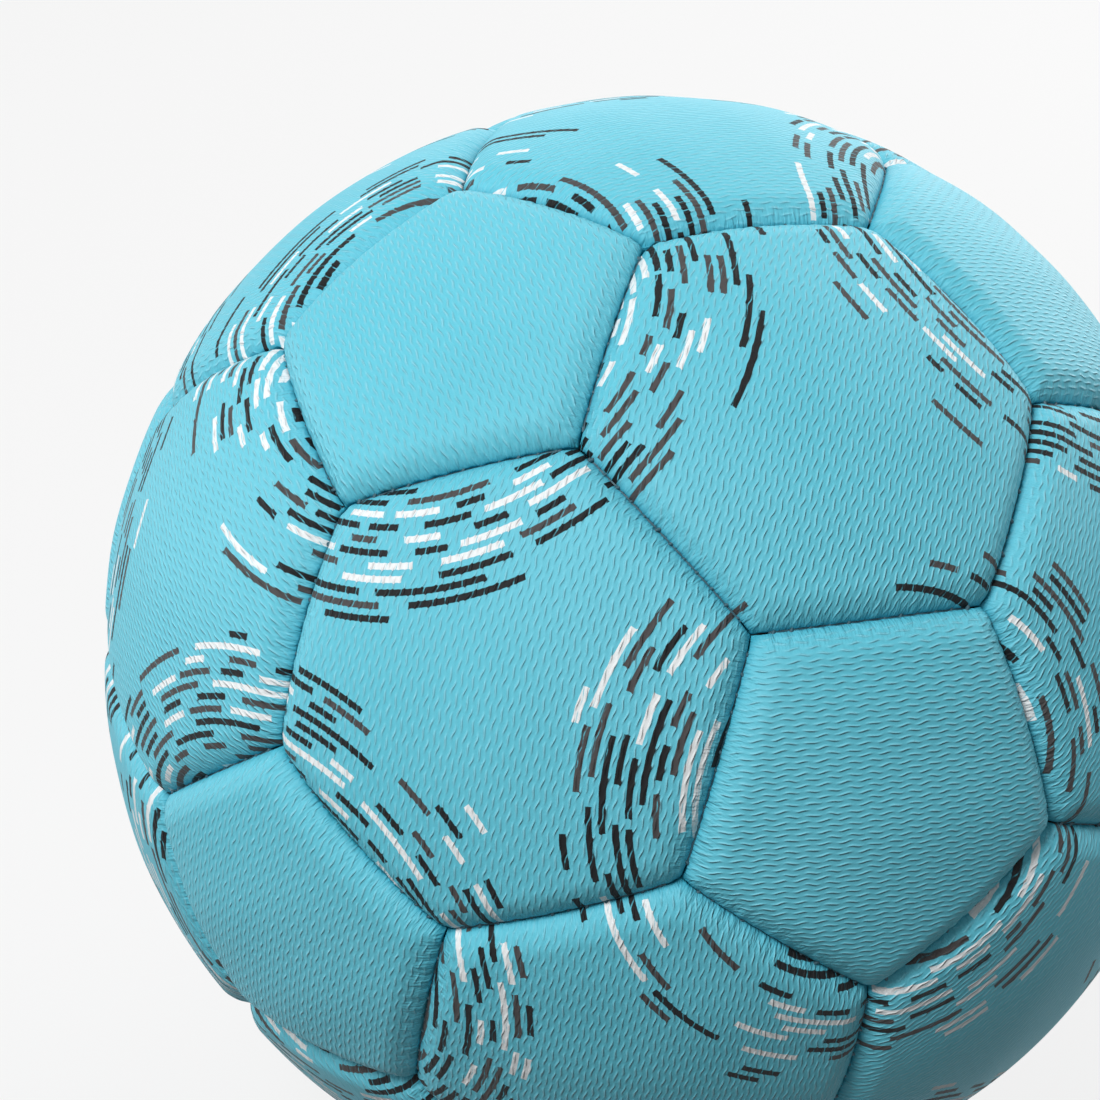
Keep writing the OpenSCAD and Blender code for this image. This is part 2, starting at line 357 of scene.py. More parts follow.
class PanelShape:
    """A panel seen from the ball's centre: its outline, its seams and how deep it lies at each place."""

    def __init__(self, sides, seed):
        # Distances in a truncated icosahedron whose sides have length 1
        golden = (1 + math.sqrt(5)) / 2
        corner_reach = math.sqrt(9 * golden + 10) / 2
        side_reach = 1 / (2 * math.tan(math.pi / sides))
        height = math.sqrt(corner_reach ** 2 - 1 / (2 * math.sin(math.pi / sides)) ** 2)
        self.sides = sides
        self.tilt = math.atan(side_reach / height)
        self.width = BALL_R * self.tilt
        turns = 2 * math.pi * np.arange(sides) / sides
        flat, rise = math.cos(self.tilt), math.sin(self.tilt)
        ones = np.ones(sides)
        self.seam_normals = np.column_stack([-flat * np.cos(turns), -flat * np.sin(turns), rise * ones])
        self.seam_tangents = np.column_stack([-np.sin(turns), np.cos(turns), 0 * ones])
        self.seam_middles = np.column_stack([rise * np.cos(turns), rise * np.sin(turns), flat * ones])
        draw = np.random.default_rng(seed)
        self.crease_phases = draw.uniform(0, 2 * math.pi, (len(CREASE_WAVES), sides))
        self.crease_slants = draw.uniform(-CREASE_SLANT, CREASE_SLANT, (len(CREASE_WAVES), sides))
        self.lump_phases = draw.uniform(0, 2 * math.pi, len(LUMP_WAVES))
        self.lump_turns = draw.uniform(0, 2 * math.pi, len(LUMP_WAVES))

    def outline(self, places):
        """Points of the outline, its sides at distance 1. Places count sides from the first one's middle."""
        nearest = np.floor(places + 0.5)
        turn = 2 * math.pi * nearest / self.sides
        along = 2 * (places - nearest) * math.tan(math.pi / self.sides)
        return np.column_stack([np.cos(turn) - along * np.sin(turn), np.sin(turn) + along * np.cos(turn)])

    def directions(self, flat):
        """Directions from the ball's centre through flat points, on the scale of outline()."""
        reach = math.tan(self.tilt - HALF_GAP / BALL_R)
        return unit(np.column_stack([flat * reach, np.ones(len(flat))]))

    def seam_distances(self, directions):
        """Distance from each seam, and place along it from its middle, in millimetres over the ball."""
        off = BALL_R * np.arcsin(directions @ self.seam_normals.T)
        along = BALL_R * np.arctan2(directions @ self.seam_tangents.T, directions @ self.seam_middles.T)
        return off, along

    def opened(self, directions):
        """The directions after the seams open a little between their stitches."""
        off, along = self.seam_distances(directions)
        waver = sum(np.sin(2 * math.pi * along / wave + phases)
                    for wave, phases in zip(WAVER_WAVES, self.crease_phases))
        opening = GAP_OPENING * (1 - stitch_pull(along)) + WAVER_WIDTH * (1 + waver / len(WAVER_WAVES))
        shift = opening * np.exp(-off / OPENING_REACH)
        return unit(directions + shift @ self.seam_normals / BALL_R)

    def depth(self, directions):
        """Depth below the ball's full radius, and distance from the nearest seam with the corners rounded."""
        off, along = self.seam_distances(directions)
        near = -CORNER_SOFTNESS * np.log(np.exp(-off / CORNER_SOFTNESS).sum(axis=1))
        across = BALL_R * np.arccos(np.clip(directions[:, 2], -1, 1))
        dome = across ** 2 / 2 * (1 / DOME_R - 1 / BALL_R)
        roll = np.clip(1 - near / SHOULDER_W, 0, 1)
        shoulder = SHOULDER_DROP * (1 - (1 - roll ** SHOULDER_POWER) ** SHOULDER_CURL)
        pit = CORNER_SLOPE * np.clip(-near, 0, None)
        pull = (PULL_DEPTH * stitch_pull(along) * np.exp(-off / PULL_REACH)).sum(axis=1)
        return dome + shoulder + pit + pull - self.creases(off, along) - self.lumps(directions), near

    def place_along(self, directions):
        """Distance along the nearest seam from its middle, either way."""
        off, along = self.seam_distances(directions)
        return np.abs(along[np.arange(len(off)), off.argmin(axis=1)])

    def creases(self, off, along):
        """Height of the small creases that run across the shoulders."""
        height = np.zeros(len(off))
        fade = np.exp(-(off / CREASE_REACH) ** 2)
        kinds = zip(CREASE_WAVES, CREASE_SHARES, self.crease_phases, self.crease_slants)
        for wave, share, phases, slants in kinds:
            ripple = np.sin(2 * math.pi * (along + slants * off) / wave + phases)
            height += (share * CREASE_HEIGHT * fade * ripple).sum(axis=1)
        return height

    def lumps(self, directions):
        """Height of the padding's broad unevenness."""
        height = np.zeros(len(directions))
        for wave, phase, turn in zip(LUMP_WAVES, self.lump_phases, self.lump_turns):
            travel = directions[:, 0] * math.cos(turn) + directions[:, 1] * math.sin(turn)
            height += LUMP_HEIGHT * np.sin(2 * math.pi * BALL_R * travel / wave + phase)
        return height


def stitch_pull(along):
    """1 at each stitch of a seam and 0 halfway between two."""
    return (0.5 - 0.5 * np.cos(2 * math.pi * along / STITCH_PITCH)) ** 2


# Mesh of one panel

def loop_start(sides, loop, first):
    """Number of vertices before a loop. Without a hole the first vertex stands alone in the middle."""
    def before(k):
        return np.where(k > 0, 1 + sides * k * (k - 1), 0)
    return before(np.asarray(loop)) - before(np.asarray(first))


def surface_flats(shape, first, hole_share):
    """Flat points of the outer surface, loop by loop from the middle, rounder the nearer they are to it."""
    found = []
    for loop in range(first, LOOPS + 1):
        count = 2 * shape.sides * loop or 1
        outline = shape.outline(np.arange(count) / (2 * max(loop, 1)))
        t = (loop - first) / (LOOPS - first)
        reach = t + CROWDING * math.sin(math.pi * t) / math.pi
        radius = hole_share + (1 - hole_share) * reach
        found.append(radius * (t * outline + (1 - t) * unit(outline)))
    return np.vstack(found)


def surface_quads(sides, first):
    """Faces of the outer surface and, for each, the corner of the panel that it belongs to."""
    corner, i, j = (a.ravel() for a in np.meshgrid(range(sides), range(LOOPS), range(LOOPS), indexing="ij"))
    kept = (i >= first) | (j >= first)
    corner, i, j = corner[kept], i[kept], j[kept]

    def index(i, j):
        k = np.maximum(i, j)
        around = corner * 2 * k + np.where(i >= j, j, 2 * k - i)
        return loop_start(sides, k, first) + around % np.maximum(2 * k * sides, 1)
    return np.column_stack([index(i, j), index(i + 1, j), index(i + 1, j + 1), index(i, j + 1)]), corner


def ring_quads(previous, following):
    """Faces between two closed loops of as many vertices."""
    return np.column_stack([previous, following, np.roll(following, -1), np.roll(previous, -1)])


def face_sizes(face_sets):
    """Number of corners of each face."""
    return np.concatenate([np.full(len(faces), faces.shape[1]) for faces in face_sets])


def new_mesh(name, points, face_sets):
    """Mesh object from points in millimetres and arrays of faces, each array with one number of corners."""
    corners = np.concatenate([faces.ravel() for faces in face_sets]).astype(np.int32)
    sizes = face_sizes(face_sets)
    mesh = bpy.data.meshes.new(name)
    mesh.vertices.add(len(points))
    mesh.vertices.foreach_set("co", (points * MM).astype(np.float32).ravel())
    mesh.loops.add(len(corners))
    mesh.loops.foreach_set("vertex_index", corners)
    mesh.polygons.add(len(sizes))
    mesh.polygons.foreach_set("loop_start", np.concatenate([[0], np.cumsum(sizes)[:-1]]).astype(np.int32))
    mesh.update(calc_edges=True)
    mesh.validate()
    mesh.shade_smooth()
    piece = bpy.data.objects.new(name, mesh)
    bpy.context.scene.collection.objects.link(piece)
    return piece, corners


def add_map(mesh, name, values):
    """UV map with one pair of values for each face corner."""
    layer = mesh.uv_layers.new(name=name)
    layer.uv.foreach_set("vector", values.astype(np.float32).ravel())


def flat_places(directions, depth_below):
    """Places over the panel in millimetres, measured round from its middle and on down its edge."""
    around = np.arctan2(directions[:, 1], directions[:, 0])
    across = BALL_R * np.arccos(np.clip(directions[:, 2], -1, 1)) + depth_below
    return np.column_stack([across * np.cos(around), across * np.sin(around)])


def ring_places(directions, pentagon_number, axes):
    """Distance of each direction from a pentagon's middle, and its turn there plus the pentagon's number."""
    middle = PENTAGONS[pentagon_number]
    corner_turn = math.pi / 5
    own = directions @ axes
    radius = BALL_R * np.arccos(np.clip(directions @ middle, -1, 1))
    turn = (np.arctan2(own[:, 1], own[:, 0]) - corner_turn) / (2 * math.pi) % 1
    return np.column_stack([radius, pentagon_number + turn])


def edge_loops(shape, rim, rim_depth):
    """Loops down the edge along the seam, and the strip that is turned in at its end.

    A loop is its directions, its depths, how far past the seam it lies and its steps on the chart.
    """
    count = len(rim)
    end_depth = BALL_R - EDGE_END_R
    loops = []
    for share in EDGE_SHARES:
        depth = rim_depth + share * (end_depth - rim_depth)
        loops.append((rim, depth, rim_depth - depth, np.full(count, share * CHART_EDGE_W)))
    outline = shape.outline(np.arange(count) / (2 * LOOPS))
    strip = shape.directions(outline * (1 - EDGE_T / shape.width))
    strip_step = CHART_EDGE_W + 2 * EDGE_T
    loops.append((strip, np.full(count, end_depth), np.full(count, -end_depth), np.full(count, strip_step)))
    return loops


def inner_loops(shape, count, hole_share):
    """Loops of the inner side, which follows the skin at its thickness, as edge_loops() gives them."""
    end_depth = BALL_R - EDGE_END_R
    outline = shape.outline(np.arange(count) / (2 * LOOPS))
    circle = unit(outline)
    loops = []
    for share in INNER_SHARES:
        reach = hole_share + share * (1 - EDGE_T / shape.width - hole_share)
        inner = shape.directions(reach * (share * outline + (1 - share) * circle))
        if hole_share and share == INNER_SHARES[-1]:
            inner = shape.directions(hole_share * circle)
        loops.append((inner, shape.depth(inner)[0] + SKIN_T, np.full(count, -end_depth), np.zeros(count)))
    if not hole_share:
        loops.append((np.array([[0.0, 0.0, 1.0]]), np.array([SKIN_T]), np.array([-end_depth]), np.zeros(1)))
    return loops


def closing_faces(last, sides, first):
    """Faces that close the inner side: a wall round the valve's hole, or a fan to the middle."""
    count = len(last)
    if not first:
        middle = np.full(count, last[-1] + 1)
        return np.column_stack([last, middle, np.roll(last, -1)])
    ratio = LOOPS // first
    edge = np.arange(2 * sides * first)
    columns = [last[(edge * ratio) % count], edge, np.roll(edge, -1)]
    columns += [last[((edge + 1) * ratio - step) % count] for step in range(ratio)]
    return np.column_stack(columns)


def panel_vertices(shape, first, hole_share):
    """Directions, depths, distances from the seam and chart steps, loop by loop: skin, edge, inner side."""
    count = 2 * shape.sides * LOOPS
    skin = shape.opened(shape.directions(surface_flats(shape, first, hole_share)))
    depth, near = shape.depth(skin)
    loops = [(skin, depth, near, 0 * depth)]
    loops += edge_loops(shape, skin[-count:], depth[-count:])
    loops += inner_loops(shape, count, hole_share)
    return [np.concatenate(values) for values in zip(*loops)]


def panel_faces(sides, first):
    """Arrays of faces, skin, edge and inner side, and for each face the panel's corner that it belongs to."""
    surface, surface_corners = surface_quads(sides, first)
    count = 2 * sides * LOOPS
    rim = loop_start(sides, LOOPS, first) + np.arange(count)
    rows = EDGE_ROWS + len(INNER_SHARES)
    rings = [ring_quads(rim + count * row, rim + count * (row + 1)) for row in range(rows)]
    closing = closing_faces(rim + count * rows, sides, first)
    face_sets = [surface, np.vstack(rings[:EDGE_ROWS]), np.vstack(rings[EDGE_ROWS:]), closing]
    ring_corners = np.arange(count) // (2 * LOOPS)
    closing_corners = np.arange(len(closing)) * sides // len(closing)
    return face_sets, np.concatenate([surface_corners] + [ring_corners] * rows + [closing_corners])


def grain_places(directions, nears, sides, side):
    """Millimetres along and across the grain's rows, which run along one side."""
    turn = math.pi / 2 + 2 * math.pi * side / sides
    places = flat_places(directions, np.clip(-nears, 0, None))
    along = places[:, 0] * math.cos(turn) + places[:, 1] * math.sin(turn)
    across = places[:, 1] * math.cos(turn) - places[:, 0] * math.sin(turn)
    return np.column_stack([along, across])


def print_places(world, axes, sides, corner_of, corners):
    """Ring places of each face corner, round the pentagon that the face's corner of the panel touches."""
    values = np.zeros((len(corners), 2))
    # Every second side of a hexagon meets a pentagon, and the corners at its ends belong to that side
    side_of = (corner_of + 1) // 2 * 2 % sides
    for side in range(0, sides, 2):
        turn = 2 * math.pi * side / sides
        towards = axes @ np.array([math.cos(turn), math.sin(turn), 1.0])
        nearest = int(np.argmax([towards @ middle for middle in PENTAGONS]))
        chosen = side_of == side
        pentagon_frame = panel_axes(PENTAGONS[nearest], HEXAGONS)
        values[chosen] = ring_places(world[corners[chosen]], nearest, pentagon_frame)
    return values


def chart_places(shape, directions, steps):
    """Places on the chart, a square from 0 to 1: the outer side and, small in a corner, the inner one."""
    corner = shape.directions(shape.outline(np.array([0.5])))
    extent = BALL_R * math.acos(corner[0, 2]) + CHART_MARGIN
    spread = flat_places(directions, steps) / extent
    return 0.5 + CHART_OUTER_SHARE * spread, CHART_INNER_MIDDLE + CHART_INNER_SHARE * spread


def make_panel(kind, number, direction, others, material):
    """One cover panel: outer skin, turned-in edge and inner side in one closed mesh."""
    sides = {"pentagon": 5, "hexagon": 6}[kind]
    name = f"{kind}_cover_{number:02d}"
    shape = PanelShape(sides, sides * PANEL_SEED_STEP + number)
    has_hole = kind == "pentagon" and number == VALVE_PANEL
    first = HOLE_LOOP if has_hole else 0
    hole_share = VALVE_HOLE_D / 2 / shape.width if has_hole else 0

    directions, depths, nears, chart_steps = panel_vertices(shape, first, hole_share)
    axes = panel_axes(direction, others)
    world = directions @ axes.T
    face_sets, face_corners = panel_faces(sides, first)
    piece, corners = new_mesh(name + "_leather", world * (BALL_R - depths)[:, None], face_sets)
    mesh = piece.data

    side = GRAIN_SIDES.get(name, 2 * number % sides)
    add_map(mesh, "grain", grain_places(directions, nears, sides, side)[corners])
    if kind == "hexagon":
        corner_of = np.repeat(face_corners, face_sizes(face_sets))
        add_map(mesh, "rings", print_places(world, axes, sides, corner_of, corners))
    # The chart shows the skin and its edge large, and the inner side small in a corner
    outer_chart, inner_chart = chart_places(shape, directions, chart_steps)
    split = face_sets[0].size + face_sets[1].size
    add_map(mesh, "OFBake", np.vstack([outer_chart[corners[:split]], inner_chart[corners[split:]]]))
    for label, values in (("seam_mm", nears), ("along_mm", shape.place_along(directions))):
        attribute = mesh.attributes.new(label, "FLOAT", "POINT")
        attribute.data.foreach_set("value", values.astype(np.float32))

    mesh.materials.append(material)
    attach(piece, "root")
    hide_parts(name)
    return piece


# Node graphs

class Graph:
    """Short calls for building a node tree. A value may be a socket or a plain number."""

    def __init__(self, tree):
        self.tree = tree

    def node(self, kind, **settings):
        made = self.tree.nodes.new("ShaderNode" + kind)
        for name, value in settings.items():
            setattr(made, name, value)
        return made

    def put(self, socket, value):
        if isinstance(value, bpy.types.NodeSocket):
            self.tree.links.new(value, socket)
        else:
            socket.default_value = value

    def call(self, kind, values, output=0, **settings):
        made = self.node(kind, **settings)
        for name, value in values.items():
            self.put(made.inputs[name], value)
        return made.outputs[output]

    def math(self, operation, *values):
        return self.call("Math", dict(enumerate(values)), operation=operation)

    def add(self, a, b):
        return self.math("ADD", a, b)

    def subtract(self, a, b):
        return self.math("SUBTRACT", a, b)

    def times(self, a, b):
        return self.math("MULTIPLY", a, b)

    def over(self, a, b):
        return self.math("DIVIDE", a, b)

    def fade(self, value, start, end):
        """1 before start, 0 past end and smooth between them."""
        values = {"Value": value, "From Min": start, "From Max": end, "To Min": 1.0, "To Max": 0.0}
        return self.call("MapRange", values, interpolation_type="SMOOTHSTEP")

    def rise(self, value, start, end):
        """0 before start, 1 past end and smooth between them."""
        return self.subtract(1.0, self.fade(value, start, end))

    def mix(self, share, a, b):
        """Colour a, or b where share is 1. Sockets go by number, because several have the same name."""
        made = self.node("Mix", data_type="RGBA")
        for place, value in ((0, share), (6, a), (7, b)):
            self.put(made.inputs[place], value)
        return made.outputs[2]

    def noise(self, vector, scale, detail=2.0, roughness=0.5):
        values = {"Vector": vector, "Scale": scale, "Detail": detail, "Roughness": roughness}
        return self.call("TexNoise", values)

    def random(self, x, y, z, output="Color"):
        """Random colour or value that is the same for the same three numbers."""
        return self.call("TexWhiteNoise", {"Vector": self.vector(x, y, z)}, output, noise_dimensions="3D")

    def vector(self, x, y, z):
        return self.call("CombineXYZ", {"X": x, "Y": y, "Z": z})

    def split(self, vector):
        made = self.node("SeparateXYZ")
        self.put(made.inputs[0], vector)
        return made.outputs

    def group(self, tree, **values):
        made = self.node("Group")
        made.node_tree = tree
        for name, value in values.items():
            self.put(made.inputs[name.replace("_", " ")], value)
        return made.outputs


def new_group(name, inputs, outputs):
    """Empty node group. An input is given by its default, None for a vector, and an output by its kind."""
    tree = bpy.data.node_groups.new(name, "ShaderNodeTree")
    for label, default in inputs.items():
        kind = "NodeSocketVector" if default is None else "NodeSocketFloat"
        if isinstance(default, tuple):
            kind = "NodeSocketColor"
        socket = tree.interface.new_socket(label, in_out="INPUT", socket_type=kind)
        if default is not None:
            socket.default_value = default
    for label, kind in outputs.items():
        tree.interface.new_socket(label, in_out="OUTPUT", socket_type="NodeSocket" + kind)
    start = tree.nodes.new("NodeGroupInput")
    end = tree.nodes.new("NodeGroupOutput")
    return Graph(tree), start.outputs, end.inputs


def grain_group():
    """Height of the embossed grain and its deepest furrows, from millimetres along and across its rows."""
    graph, given, result = new_group(
        "embossed_grain", {"Places": None, "Length": GRAIN_LENGTH, "Pitch": ROW_PITCH, "Tilt": GRAIN_TILT},
        {"Height": "Float", "Furrow": "Float"})
    wander = graph.noise(given["Places"], WANDER_SCALE, detail=1.0)
    along, across, _ = graph.split(given["Places"])
    drift = graph.times(graph.subtract(wander, 0.5), WANDER_WIDTH)
    x = graph.over(graph.times(graph.add(along, drift), 2 * math.pi), given["Length"])
    y = graph.over(graph.times(graph.add(across, drift), math.pi), given["Pitch"])
    bent = graph.add(y, graph.times(given["Tilt"], graph.math("SINE", x)))
    row = graph.math("COSINE", bent)
    breaks = graph.times(graph.math("COSINE", x), row)
    stagger = graph.add(graph.times(breaks, STAGGER_SHARE), 1 - STAGGER_SHARE)
    # One flank of a ridge is steeper than the other
    twice = graph.times(bent, 2.0)
    leaning = graph.add(twice, graph.times(graph.math("SINE", twice), LEAN_SHARE))
    ridge = graph.add(graph.times(graph.math("COSINE", leaning), 0.5), 0.5)
    graph.put(result["Height"], graph.times(stagger, graph.math("POWER", ridge, RIDGE_POWER)))
    graph.put(result["Furrow"], graph.rise(graph.math("SINE", bent), *FURROW_LEVELS))
    return graph.tree


def leather_group():
    """Colour, roughness and relief that all the leather shares."""
    graph, given, result = new_group(
        "leather_finish",
        {"Position": None, "Grain": 0.0, "Seam": 0.0, "Along": 0.0,
         "Ridge And Sheen Color": LEATHER_RIDGE_AND_SHEEN, "Valley And Shade Color": LEATHER_VALLEY_AND_SHADE, "Seam Shade Color": LEATHER_SEAM_PAINTED_SHADE},
        {"Color": "Color", "Roughness": "Float", "Height": "Float"})
    grain, seam = given["Grain"], given["Seam"]
    cloud = graph.noise(given["Position"], CLOUD_SCALE, detail=3.0)
    speckle = graph.noise(given["Position"], SPECKLE_SCALE, detail=3.0, roughness=SPECKLE_ROUGHNESS)
    # Ridges paler and valleys deeper: partly the two-tone finish, partly painted sheen on the ridges and
    # painted shade in the furrows
    tone = graph.add(graph.times(grain, TONE_GRAIN_SHARE), graph.times(cloud, TONE_CLOUD_SHARE))
    body = graph.mix(tone, given["Valley And Shade Color"], given["Ridge And Sheen Color"])
    # Painted shade: the colour turns deep teal down the edge walls and near the seam, where shade falls in
    # the groove
    seam_shade_edge = graph.add(seam, graph.times(speckle, SEAM_SHADE_SPECKLE))
    painted_seam_shade = graph.fade(seam_shade_edge, SEAM_SHADE_FROM, SEAM_SHADE_TO)
    graph.put(result["Color"], graph.mix(painted_seam_shade, body, given["Seam Shade Color"]))
    rough = graph.subtract(graph.times(speckle, ROUGHER_SPECKLE), graph.times(grain, SMOOTHER_RIDGE))
    graph.put(result["Roughness"], graph.add(rough, LEATHER_ROUGHNESS))
    # Fine creases run across the shoulder, from the seam
    creased = graph.vector(graph.times(given["Along"], FINE_CREASES_ALONG),
                           graph.times(seam, FINE_CREASES_ACROSS), graph.times(cloud, FINE_CREASES_WARP))
    crease = graph.times(graph.subtract(graph.noise(creased, 1.0), 0.5), FINE_CREASES_SHARE)
    crush = graph.times(graph.fade(seam, FINE_CREASES_FROM, FINE_CREASES_TO), crease)
    relief = graph.add(graph.times(graph.subtract(speckle, 0.5), SPECKLE_RELIEF_SHARE), crush)
    graph.put(result["Height"], graph.add(grain, relief))
    return graph.tree


def ring_cells(graph, ring, ring_r, turn, number):
    """Cut a ring into a whole number of cells: their number and length, the cell here and the place in it."""
    random = graph.split(graph.random(ring, number, RING_SEED))
    around = graph.times(ring_r, 2 * math.pi)
    wanted = graph.add(graph.times(random[0], CELL_EXTRA), CELL_LENGTH)
    cells = graph.math("ROUND", graph.over(around, wanted))
    place = graph.add(graph.times(turn, cells), random[1])
    cell = graph.math("FLOOR", place)
    in_cell = graph.subtract(graph.subtract(place, cell), 0.5)
    return cells, graph.over(around, cells), graph.math("FLOORED_MODULO", cell, cells), in_cell


def bar_in_cell(graph, random, length, in_cell, off, bar_w, grain):
    """1 on the bar, which has a random length and place in its cell and edges that the grain makes ragged."""
    half_share = graph.add(graph.times(random[1], BAR_HALF_EXTRA_SHARE), BAR_HALF_SHARE)
    half = graph.times(length, half_share)
    slack = graph.subtract(graph.times(length, CELL_FREE_SHARE), half)
    shift = graph.times(slack, graph.subtract(random[2], 0.5))
    along = graph.subtract(graph.times(in_cell, length), shift)
    inside_end = graph.subtract(half, graph.math("ABSOLUTE", along))
    inside_side = graph.subtract(graph.over(bar_w, 2.0), graph.math("ABSOLUTE", off))
    ragged = graph.times(graph.subtract(grain, RAGGED_LEVEL), BAR_RAGGEDNESS)
    edge = graph.add(graph.math("MINIMUM", inside_end, inside_side), ragged)
    return graph.rise(edge, -BAR_EDGE_SOFTNESS, BAR_EDGE_SOFTNESS)


def drift_share(graph, ring_r, bearing, number):
    """Share of the cells that hold a bar: high in a drift, and 0 far from the pentagon."""
    x = graph.times(ring_r, graph.math("COSINE", bearing))
    y = graph.times(ring_r, graph.math("SINE", bearing))
    where = graph.vector(x, y, graph.times(number, DRIFT_STEP))
    drift = graph.fade(graph.noise(where, DRIFT_SCALE, detail=1.5), *DRIFT_LEVELS)
    return graph.times(drift, graph.fade(ring_r, RINGS_THIN_R, RINGS_END_R))


def print_group():
    """Broken rings of bars: where there is ink, and a random share that picks its colour."""
    graph, given, result = new_group(
        "ring_print", {"Rings": None, "Grain": 0.0, "Spacing": RING_SPACING, "Bar Width": BAR_W},
        {"Ink": "Float", "Shade": "Float"})
    radius, numbered_turn, _ = graph.split(given["Rings"])
    number = graph.math("FLOOR", numbered_turn)
    turn = graph.subtract(numbered_turn, number)
    ring = graph.math("FLOOR", graph.over(radius, given["Spacing"]))
    ring_r = graph.times(graph.add(ring, 0.5), given["Spacing"])
    off = graph.subtract(radius, ring_r)
    # Each cell of a ring may hold one bar
    cells, length, cell, in_cell = ring_cells(graph, ring, ring_r, turn, number)
    random = graph.split(graph.random(cell, ring, graph.add(number, BAR_SEED)))
    bar = bar_in_cell(graph, random, length, in_cell, off, given["Bar Width"], given["Grain"])
    bearing = graph.over(graph.times(cell, 2 * math.pi), cells)
    chosen = graph.math("LESS_THAN", random[0], drift_share(graph, ring_r, bearing, number))
    graph.put(result["Ink"], graph.times(bar, chosen))
    graph.put(result["Shade"], graph.random(ring, cell, graph.add(number, SHADE_SEED), "Value"))
    return graph.tree


def scuff_group():
    """Soft patches and fine speckle, for plain rubber, foam, cloth and thread."""
    graph, given, result = new_group(
        "scuffs", {"Position": None, "Scale": BLADDER_SCALE}, {"Patches": "Float", "Speckle": "Float"})
    position, scale = given["Position"], given["Scale"]
    patch_scale = graph.times(scale, PATCH_SHARE)
    graph.put(result["Patches"], graph.noise(position, patch_scale, detail=3.0))
    graph.put(result["Speckle"], graph.noise(position, scale, detail=4.0, roughness=SPECKLE_ROUGHNESS))
    return graph.tree


GRAIN = grain_group()
LEATHER = leather_group()
PRINT = print_group()
SCUFFS = scuff_group()


# Materials

def new_material(name):
    """Material with a Principled shader, and a graph to build what drives it."""
    material = bpy.data.materials.new(name)
    material.use_nodes = True
    shader = material.node_tree.nodes["Principled BSDF"]
    return material, Graph(material.node_tree), shader.inputs


def bumped(graph, height, distance_mm):
    """Normal of a surface with this relief. The distance is from height 0 to height 1."""
    return graph.call("Bump", {"Height": height, "Strength": 1.0, "Distance": distance_mm * MM})


def leather_material(name, printed):
    """Embossed synthetic leather with a satin skin, plain or with the ring print."""
    material, graph, shader = new_material(name)
    places = graph.node("UVMap", uv_map="grain").outputs[0]
    seam = graph.node("Attribute", attribute_name="seam_mm").outputs["Fac"]
    along = graph.node("Attribute", attribute_name="along_mm").outputs["Fac"]
    position = graph.node("TexCoord").outputs["Object"]
    embossed = graph.group(GRAIN, Places=places)
    flattened = graph.times(graph.fade(seam, FLATTENED_FROM, FLATTENED_TO), FLATTENED_SHARE)
    grain = graph.times(embossed["Height"], graph.subtract(1.0, flattened))
    finish = graph.group(LEATHER, Position=position, Grain=grain, Seam=seam, Along=along)
    color, roughness = finish["Color"], finish["Roughness"]
    if printed:
        rings = graph.node("UVMap", uv_map="rings").outputs[0]
        print_out = graph.group(PRINT, Rings=rings, Grain=grain)
        ink, shade = print_out["Ink"], print_out["Shade"]
        dark = graph.mix(graph.math("GREATER_THAN", shade, INK_LEVELS[0]), INK_BLACK, INK_GREY)
        pigment = graph.mix(graph.math("GREATER_THAN", shade, INK_LEVELS[1]), dark, INK_WHITE)
        cover = graph.fade(graph.noise(position, HOLLOW_SCALE), *HOLLOW_LEVELS)
        least, most = HOLLOW_SHARES
        hollow = graph.times(embossed["Furrow"], graph.add(graph.times(cover, most - least), least))
        color = graph.mix(graph.times(ink, graph.subtract(1.0, hollow)), color, pigment)
        roughness = graph.add(roughness, graph.times(ink, ROUGHER_INK))
    graph.put(shader["Base Color"], color)
    graph.put(shader["Roughness"], roughness)
    graph.put(shader["Normal"], bumped(graph, finish["Height"], GRAIN_HEIGHT))
    shader["Specular IOR Level"].default_value = LEATHER_SHINE
    return material


def finish_plain(graph, shader, color, speckle, roughness, relief, relief_mm):
    """Colour, roughness from its lowest to its highest with the speckle, and relief of a plain material."""
    lowest, highest = roughness
    graph.put(shader["Base Color"], color)
    graph.put(shader["Roughness"], graph.add(graph.times(speckle, highest - lowest), lowest))
    graph.put(shader["Normal"], bumped(graph, relief, relief_mm))


def rubber_material(name, scale):
    """Moulded rubber with soft patches."""
    material, graph, shader = new_material(name)
    position = graph.node("TexCoord").outputs["Object"]
    scuffs = graph.group(SCUFFS, Position=position, Scale=scale)
    color = graph.mix(scuffs["Patches"], RUBBER_DARK, RUBBER_PALE)
    speckle = scuffs["Speckle"]
    finish_plain(graph, shader, color, speckle, RUBBER_ROUGHNESS, speckle, RUBBER_RELIEF)
    return material


def cloth_material(name):
    """Plain weave, for the lining and the valve's patch."""
    material, graph, shader = new_material(name)
    position = graph.node("TexCoord").outputs["Object"]
    x, y, z = graph.split(position)
    yarns = 2 * math.pi / (YARN_PITCH * MM)
    warp = graph.math("SINE", graph.times(graph.add(x, z), yarns))
    weft = graph.math("SINE", graph.times(graph.subtract(y, z), yarns))
    weave = graph.add(graph.times(graph.times(warp, weft), 0.5), 0.5)
    speckle = graph.group(SCUFFS, Position=position, Scale=CLOTH_SCALE)["Speckle"]
    tone = graph.times(graph.add(weave, speckle), 0.5)
    color = graph.mix(tone, CLOTH_DARK, CLOTH_PALE)
    finish_plain(graph, shader, color, speckle, CLOTH_ROUGHNESS, weave, CLOTH_RELIEF)
    return material


def foam_material(name):
    """Closed cells, for the padding."""
    material, graph, shader = new_material(name)
    position = graph.node("TexCoord").outputs["Object"]
    cells = graph.call("TexVoronoi", {"Vector": position, "Scale": FOAM_CELL_SCALE})
    scuffs = graph.group(SCUFFS, Position=position, Scale=FOAM_SCALE)
    color = graph.mix(scuffs["Patches"], FOAM_DARK, FOAM_PALE)
    finish_plain(graph, shader, color, scuffs["Speckle"], FOAM_ROUGHNESS, cells, FOAM_RELIEF)
    return material


